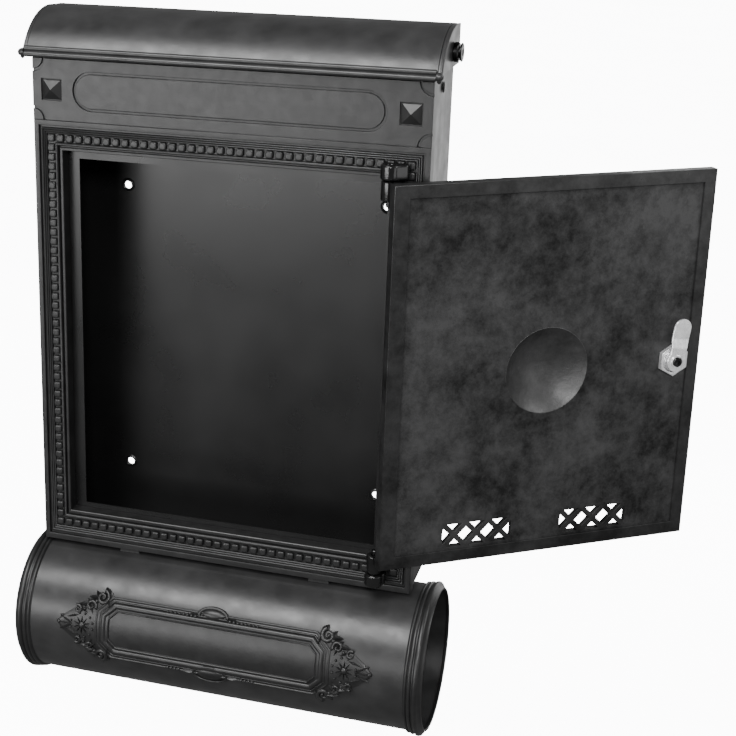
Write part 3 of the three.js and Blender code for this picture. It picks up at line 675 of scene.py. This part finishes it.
def cam_plate():
    """Steel strip with a round eye, set back towards the door past the eye."""
    eye, tip, reach, thick, step, stations = 8, 7.2, 33, 1.7, 1.2, 48
    verts = []
    for i in range(stations + 1):
        z = -eye + (reach + eye) * (0.5 - 0.5 * math.cos(math.pi * i / stations))
        half = cam_half_width(z, eye, tip, reach)
        bend = min(max((z - 11) / 6, 0), 1)
        y = CAM_FACE - step * bend ** 2 * (3 - 2 * bend)
        soft = min(0.35, half * 0.5)
        ring = [(-half + soft, 0), (half - soft, 0), (half, soft), (half, thick - soft),
                (half - soft, thick), (-half + soft, thick), (-half, thick - soft), (-half, soft)]
        verts += [(x, y + t, z) for x, t in ring]
    faces = bands(stations + 1, len(ring)) + caps(stations + 1, len(ring))
    make("steel_cam", Shape().add((verts, faces), CAM_PLACE), "cam", "zinc_steel", replaces=["lock_cam"])
    head = CAM_FACE + thick + 0.05
    collar = [(2.2, head - 0.3), (4.9, head - 0.3), (5.1, head + 0.3), (4.8, head + 0.9), (4.1, head + 0.9),
              (3.9, head + 0.2), (2.2, head + 0.2)]
    make("cam_collar", Shape().add(turned(collar, 40, ring=True), CAM_PLACE @ ALONG_Y), "cam", "zinc_steel",
         replaces=["cam_screw"])
    screw = [(3.6, head - 0.5), (3.6, head + 1.0), (3.2, head + 1.5), (1.6, head + 1.5), (1.5, head + 0.7),
             (0.05, head + 0.6)]
    make("cam_screw_head", Shape().add(turned(screw, 36), CAM_PLACE @ ALONG_Y), "cam", "dark_steel")


# ---- lid ----
LIP_DEG = 180 - math.degrees(math.asin((LID_LIP - LID_Z) / LID_R))
LIP_Y = LID_Y - math.sqrt(LID_R ** 2 - (LID_LIP - LID_Z) ** 2)


def lid_barrel():
    crest = LID_Z + LID_R
    outer = [(LID_BACK_Y, crest - 1.5), (LID_BACK_Y - 8, crest - 0.35)]
    outer += arc(LID_Y, LID_Z, LID_R, 90, LIP_DEG - 3, 40)
    beads = arc(LIP_Y - 2.1, LID_LIP + 2, 2.0, 95, 235, 9) + arc(LIP_Y - 3.0, LID_LIP - 2, 2.1, 125, 285, 10)
    inner = [(LIP_Y, LID_LIP - 3.4)] + arc(LID_Y, LID_Z, LID_R - 1.3, LIP_DEG, 90, 40)
    inner += [(LID_BACK_Y, crest - 2.7)]
    make("lid_barrel", Shape().add(run_x(outer + beads + inner, -LID_HALF, LID_HALF)), "lid", "black_sheet",
         replaces=["lid_shell"])


def lid_cheek(side, word):
    """End cap with a rolled rim that follows the barrel, and a toe under the lip."""
    crest = LID_Z + LID_R
    edge = [(LID_BACK_Y + 0.3, LID_LIP - 0.5), (LID_BACK_Y + 0.3, crest - 1.2)]
    edge += arc(LID_Y, LID_Z, LID_R, 90, LIP_DEG, 40) + [(LIP_Y, LID_LIP - 1)]
    upright = Matrix(((0, 0, 1, 0), (1, 0, 0, 0), (0, 1, 0, 0), (0, 0, 0, 1)))
    x = CHEEK_IN if side > 0 else -CHEEK_IN - CHEEK_T
    hole = circle(LID_PIVOT.y, LID_PIVOT.z, 3.4, 24)
    shape = Shape().add(plate(edge, CHEEK_T, [hole], 0.35), Matrix.Translation((x, 0, 0)) @ upright)
    rim = [(side * 154.6, y, z) for y, z in arc(LID_Y, LID_Z, LID_R - 1.15, 86, LIP_DEG, 36)]
    shape.add(cord(rim, [1.1] * len(rim)))
    bead_y = LIP_Y - 2.9
    knob = [(side * out, bead_y, LID_LIP - 0.4 - 0.12 * (out - 152) ** 1.5)
            for out in (152.3, 154.5, 155.6, 156.6, 157.2)]
    shape.add(cord(knob, [3.0, 2.9, 2.6, 1.9, 0.7], 18))
    hook = [(side * 154.2, bead_y + 0.8, LID_LIP - h) for h in (1, 3, 4.6, 5.6)]
    shape.add(cord(hook, [1.9, 1.8, 1.5, 0.6], 14))
    make(f"lid_cheek_{word}", shape, "lid", "black_sheet", replaces=[f"lid_end_{word}"])


def lid_screws(side, word):
    outwards = ALONG_X if side > 0 else ALONG_X.inverted()
    profile = [(3, 143), (3, 154.4), (6.4, 154.4), (7, 155), (7, 157.4), (6.4, 158.1), (4, 158.2),
               (4, 159.2), (6.2, 159.2), (6.6, 159.5), (6.6, 160.1), (6.1, 160.5), (2.6, 160.5),
               (2.4, 159.9), (0.05, 159.9)]
    place = Matrix.Translation((0, LID_PIVOT.y, LID_PIVOT.z)) @ outwards
    make(f"pivot_{word}", Shape().add(turned(profile, 48), place), "housing", "dark_steel",
         replaces=[f"lid_pivot_screw_{word}"])
    low, high = limits(f"side_rivet_{word}")
    r = (high.z - low.z) / 2
    middle = (low + high) / 2
    rivet = [(2, -5), (2, -1.2), (r, -1.2), (r, -0.8), (r - 0.8, -0.2), (1.4, 0), (0.05, 0)]
    outer = Matrix.Translation((high.x if side > 0 else low.x, middle.y, middle.z))
    make(f"rivet_{word}", Shape().add(turned(rivet, 36), outer @ outwards), "housing", "dark_steel",
         replaces=[f"side_rivet_{word}"])


# ---- box ----
def rear_collars():
    """Pressed rims round the four wall holes."""
    shape = Shape()
    for x in (-WALL_HOLE_X, WALL_HOLE_X):
        for z in WALL_HOLE_RISES:
            rim = [(3.1, 0), (5.4, 0), (5.0, -0.5), (4.3, -1.1), (3.6, -1.2), (3.1, -0.9)]
            shape.add(turned(rim, 40, ring=True), Matrix.Translation((x, -1, BASE + z)) @ ALONG_Y)
    # The rims take the darker inside paint, which is painted shade inside the box.
    make("wall_hole_rims", shape, "housing", "black_sheet", SHADED_INSIDE_PAINT)


# ---- newspaper tube ----
TUBE_PLACE = Matrix.Translation(TUBE_MID) @ ALONG_X


def tube():
    end = TUBE_HIGH.x - TUBE_MID.x
    wall = [(TUBE_R, -end), (TUBE_R, end), (TUBE_R - 1.2, end), (TUBE_R - 1.2, -end)]
    make("tube_sheet", Shape().add(turned(wall, 144, ring=True), TUBE_PLACE), "housing", "black_sheet",
         replaces=["tube_shell"])
    for side, word in SIDES:
        bore = RING_R - 6
        lip = [(bore, 0.6), (bore + 0.3, 0.15), (bore + 0.9, 0), (bore + 1.5, 0.2), (bore + 2.2, 1.4)]
        beads = []
        for middle, radius, top in ((5.0, 2.3, RING_R), (9.3, 1.5, RING_R - 0.7), (12.4, 1.1, RING_R - 1.3)):
            beads += [(top - radius + radius * math.sin(a), middle - radius * math.cos(a))
                      for a in map(math.radians, range(15, 166, 15))]
        inside = [(TUBE_R + 0.3, 14), (TUBE_R + 0.3, 2.8), (bore + 1.4, 2.8), (bore + 0.2, 2.4)]
        profile = [(r, side * (TUBE_END - a)) for r, a in lip + beads + inside]
        make(f"end_ring_{word}", Shape().add(turned(profile, 144, ring=True), TUBE_PLACE), "housing",
             "black_cast", replaces=[f"tube_ring_{word}"])


def on_tube(shell, lift=0.3):
    """Bends a shell drawn flat, with X along the tube, Y round it and Z outwards, on to the tube."""
    verts, faces = shell
    bent = []
    for x, s, h in verts:
        angle = s / TUBE_R + math.radians(PLAQUE_TILT)
        r = TUBE_R + lift + h
        bent.append((TUBE_MID.x + x, TUBE_MID.y - r * math.cos(angle), TUBE_MID.z + r * math.sin(angle)))
    return bent, faces


def moved(shell, x=0, y=0, turn=0):
    """A flat ornament turned in its plane, in degrees, and shifted."""
    place = Matrix.Translation((x, y, 0)) @ Matrix.Rotation(math.radians(turn), 4, "Z")
    return [place @ Vector(v) for v in shell[0]], shell[1]


def plaque_outline(inset):
    """The plaque's eight-sided outline, drawn in by the inset."""
    long, half, cant = 95 - inset, PLAQUE_HALF - inset, 12 - inset * 0.5
    return [(long - cant, -half), (long, -half + cant), (long, half - cant), (long - cant, half),
            (-long + cant, half), (-long, half - cant), (-long, -half + cant), (-long + cant, -half)]


def plaque_frame():
    """Parallel ridges round the plaque, mitred at its corners, cut into short steps so that they bend."""
    profile = [(0, -0.3), (0, 0.9)] + reed(0.2, 2.0, 0.9, 1.7) + [(2.2, 0.4), (3.0, 0.4)]
    profile += reed(3.2, 4.6, 0.6, 1.6) + reed(4.8, 9.0, 0.7, 2.2) + [(9.2, 0.3), (10.2, 0.3)]
    profile += reed(10.3, 11.7, 0.3, 1.6) + [(11.9, 0.2), (12.8, 0.2), (12.8, -0.3)]
    verts, steps = [], 6
    for inset, rise in profile:
        loop = plaque_outline(inset)
        for (xa, ya), (xb, yb) in zip(loop, loop[1:] + loop[:1]):
            verts += [(xa + (xb - xa) * i / steps, ya + (yb - ya) * i / steps, rise) for i in range(steps)]
    return verts, bands(len(profile), len(loop) * steps, closed=True)


def grid_slab(half_x, half_y, z0, z1, nx=8, ny=10):
    """A flat slab in small squares, so that it bends."""
    sheet = [(-half_x + 2 * half_x * i / nx, -half_y + 2 * half_y * j / ny, z0)
             for i in range(nx + 1) for j in range(ny + 1)]
    return closed_sheet(sheet, nx, ny, z1)


def curl(radius, turns, thick, height, hand=1):
    """A spiral scroll lying flat, thinning towards its eye."""
    points, radii = [], []
    steps = 26
    for i in range(steps + 1):
        t = i / steps
        a, r = hand * TURN * turns * t, radius * (1 - 0.82 * t)
        points.append((r * math.cos(a), r * math.sin(a), height))
        radii.append(thick * (1 - 0.35 * t))
    return cord(points, radii, 8)


def spearhead(x0, x1, half, height, steps=14, across=8):
    """Low rounded ground under the end ornament, as wide as half(t) says from x0 to x1."""
    verts = []
    for i in range(steps + 1):
        t = i / steps
        for k in range(across + 1):
            v = 2 * k / across - 1
            verts.append((x0 + (x1 - x0) * t, v * half(t), height * (1 - abs(v) ** 4 * 0.5)))
    return closed_sheet(verts, steps, across, -0.3)


def rosette(x):
    """Ten petals round a button, in a ring of beads."""
    shells = [moved(leaf(8, 4.2, 2.9), x, 0, 36 * k + 18) for k in range(10)]
    shells.append(moved(dome(3.2, 2.9), x, 0))
    for k in range(12):
        a = math.radians(30 * k + 15)
        shells.append(moved(dome(1.2, 2.6, 5, 12), x + 9.4 * math.cos(a), 9.4 * math.sin(a)))
    return shells


def end_ornament(flip):
    """Leaves, scrolls and a rosette that run to a point at the plaque's end."""
    shells = [spearhead(84, 127, lambda t: 0.4 + 28 * (1 - t) ** 0.75, 1.2)] + rosette(106)
    for turn, length in ((0, 14), (26, 13), (-26, 13)):
        shells.append(moved(leaf(length, 6.2, 2.9), 113.5, 0, turn))
    leaves = ((86, 24, 60, 9), (89, 17, 52, 14), (93, 12, 40, 14), (97, 9, 66, 12), (101, 10, 24, 13),
              (108, 8, -16, 13), (95, 20, -20, 12), (90, 21, 8, 13), (84, 14, 78, 12), (99, 16, 0, 11))
    for hand in (-1, 1):
        shells.append(moved(curl(5.4, 1.4, 1.8, 1.1, hand), 91, hand * 23.4, 110 * hand))
        shells.append(moved(curl(4.2, 1.3, 1.5, 1.2, -hand), 99.5, hand * 16, 200))
        shells.append(moved(curl(3.2, 1.2, 1.3, 1.3, hand), 110, hand * 12, 60 * hand))
        shells += [moved(leaf(length, 5.8, 2.9), x, hand * y, turn * hand) for x, y, turn, length in leaves]
        shells += [moved(dome(1.9, 2.9), 95.5, hand * 20), moved(dome(1.5, 2.7), 104.5, hand * 13)]
    shells.append(moved(dome(1.8, 2.3), 125.5, 0))
    return [([(flip * x, y, z) for x, y, z in verts], faces) for verts, faces in shells]


def squeezed(shell, across, up):
    """A flat ornament stretched about the origin."""
    return [(x * across, y * up, z) for x, y, z in shell[0]], shell[1]


def crest_ornament():
    """Small arched cap over the plaque's middle with a row of beads either side, and a cabochon below."""
    top, low = PLAQUE_HALF - 1, 1.5 - PLAQUE_HALF
    shells = [moved(squeezed(dome(7.5, 2.9), 1.35, 0.55), 0, top)]
    arch = [(11.5 * math.cos(math.pi * i / 20), top - 2 + 6.4 * math.sin(math.pi * i / 20), 1.4)
            for i in range(21)]
    shells.append(cord(arch, [1.4] * len(arch), 10))
    ring = [(13.6 * math.cos(TURN * i / 32), low + 6.8 * math.sin(TURN * i / 32), 1.1) for i in range(33)]
    shells += [moved(squeezed(dome(5, 2.9), 2.2, 1), 0, low), cord(ring, [1] * len(ring), 8)]
    for side in (-1, 1):
        shells += [moved(dome(1.8 - 0.06 * k, 2.9), side * (14 + 3.2 * k), top - 3.4) for k in range(8)]
        shells.append(moved(leaf(12, 5, 2.9), side * 10, top - 3, 90 - side * 90))
        shells.append(moved(leaf(12, 6, 2.6), side * 12, low, 90 - side * 90))
        shells += [moved(dome(1.5, 2.5), side * (25.5 + 3 * k), low + 0.4) for k in range(4)]
    return shells


def plaque():
    shape = Shape().add(on_tube(plaque_frame()))
    shape.add(on_tube(grid_slab(83, 13, -0.3, 0.35)))
    for flip in (-1, 1):
        for shell in end_ornament(flip):
            shape.add(on_tube(shell))
    for shell in crest_ornament():
        shape.add(on_tube(shell))
    make("ornament_plaque", shape, "housing", "black_cast", replaces=["tube_plaque"], sharp=50)


# ---- carried-over CAD nodes: finish and softened edges ----
def finish_nodes():
    slots = {s["node"]: s["material_slot"] for s in frame["record"]["subparts"]}
    # The rear panel, floor and door stop take the darker inside paint, which paints shade into the box's interior.
    inside = {"rear_panel", "floor_panel", "door_stop_frame"}
    for name, node in frame["nodes"].items():
        node.data.materials.clear()
        node.data.materials.append(SHADED_INSIDE_PAINT if name in inside else MATERIALS[slots[name]])
        soft = node.modifiers.new("soft_edges", "BEVEL")
        soft.width = 0.15 * MM
        soft.segments = 2
        soft.limit_method = "ANGLE"
        soft.angle_limit = math.radians(50)


# ---- light, floor and camera ----
def area_light(name, place, aim, size, power):
    """Place, aim and size are in metres, power in watts."""
    data = bpy.data.lights.new(name, "AREA")
    data.shape = "RECTANGLE"
    data.size, data.size_y = size
    data.energy = power
    light = bpy.data.objects.new(name, data)
    light.location = place
    light.rotation_euler = (Vector(aim) - Vector(place)).to_track_quat("-Z", "Y").to_euler()
    bpy.context.scene.collection.objects.link(light)


def white_surroundings():
    """Dim light on the object from all round, with a white ground behind it."""
    world = bpy.data.worlds.new("studio")
    world.use_nodes = True
    tree = world.node_tree
    ray = tree.nodes.new("ShaderNodeLightPath")
    strength = tree.nodes.new("ShaderNodeMapRange")
    strength.inputs["To Min"].default_value = 0.2
    strength.inputs["To Max"].default_value = 12
    tree.links.new(ray.outputs["Is Camera Ray"], strength.inputs["Value"])
    tree.links.new(strength.outputs["Result"], tree.nodes["Background"].inputs["Strength"])
    tree.nodes["Background"].inputs["Color"].default_value = (1, 1, 1, 1)
    bpy.context.scene.world = world


def pale_floor():
    """White floor with a soft light of its own, which sends nothing back to the object."""
    bpy.ops.mesh.primitive_plane_add(size=80, location=(0, 0, cad_bounds[0].z - 0.35))
    floor = bpy.context.object
    floor.name = "floor"
    floor.visible_glossy = False
    floor.visible_diffuse = False
    material, tree, shader = new_material("pale_floor", (0.85, 0.85, 0.85), 0.9)
    tree.links.new(spread_over(tree, cloud(tree, 2), grey(0.84), grey(0.87)), shader.inputs["Base Color"])
    floor.data.materials.append(material)
    only_floor = bpy.data.collections.new("only_floor")
    only_floor.objects.link(floor)
    data = bpy.data.lights.new("floor_wash", "SUN")
    data.energy = 42
    data.angle = math.radians(150)
    wash = bpy.data.objects.new("floor_wash", data)
    bpy.context.scene.collection.objects.link(wash)
    wash.light_linking.receiver_collection = only_floor


def studio():
    white_surroundings()
    pale_floor()
    area_light("key", (-0.5, -1.3, 1.7), (0, 0, 0), (1.2, 0.8), 46)
    area_light("front_card", (-0.85, -1.7, -0.04), (-0.1, 0, 0.15), (1.4, 0.56), 17)
    area_light("right_card", (1.3, -0.5, 0), (0.24, 0, 0), (0.6, 0.65), 1.8)
    area_light("small_lamp", (0.6, -1.72, 0.9), (0.24, 0, 0), (0.35, 0.35), 21)
    area_light("side_strip", (1.3, 0.1, 0.9), (0.15, 0, 0.1), (0.5, 0.9), 8)
    area_light("back_card", (0.6, 1.4, 0), (0.15, 0, 0), (0.9, 1.2), 4.5)


def camera():
    """Stands to the right of the box and above it, looking down. The shift places the box as framed."""
    data = bpy.data.cameras.new("camera")
    data.lens = 74.08
    data.sensor_width = 36
    data.shift_x = 0.1337
    data.shift_y = -0.079
    yaw, pitch, roll = math.radians(17.03), math.radians(17.19), math.radians(1.01)
    stand = (0.3463, -1.0873, 0.3452)                 # metres
    view = bpy.data.objects.new("camera", data)
    level = Matrix.Rotation(yaw, 4, "Z") @ Matrix.Rotation(math.pi / 2 - pitch, 4, "X")
    view.matrix_world = Matrix.Translation(stand) @ (level @ Matrix.Rotation(roll, 4, "Z"))
    bpy.context.scene.collection.objects.link(view)
    bpy.context.scene.camera = view


finish_nodes()
front_casting()
studs()
hinge_lugs()
hinge_pins()
door()
door_knuckles()
lock()
cam_plate()
lid_barrel()
for lid_side, lid_word in SIDES:
    lid_cheek(lid_side, lid_word)
    lid_screws(lid_side, lid_word)
rear_collars()
tube()
plaque()
studio()
camera()
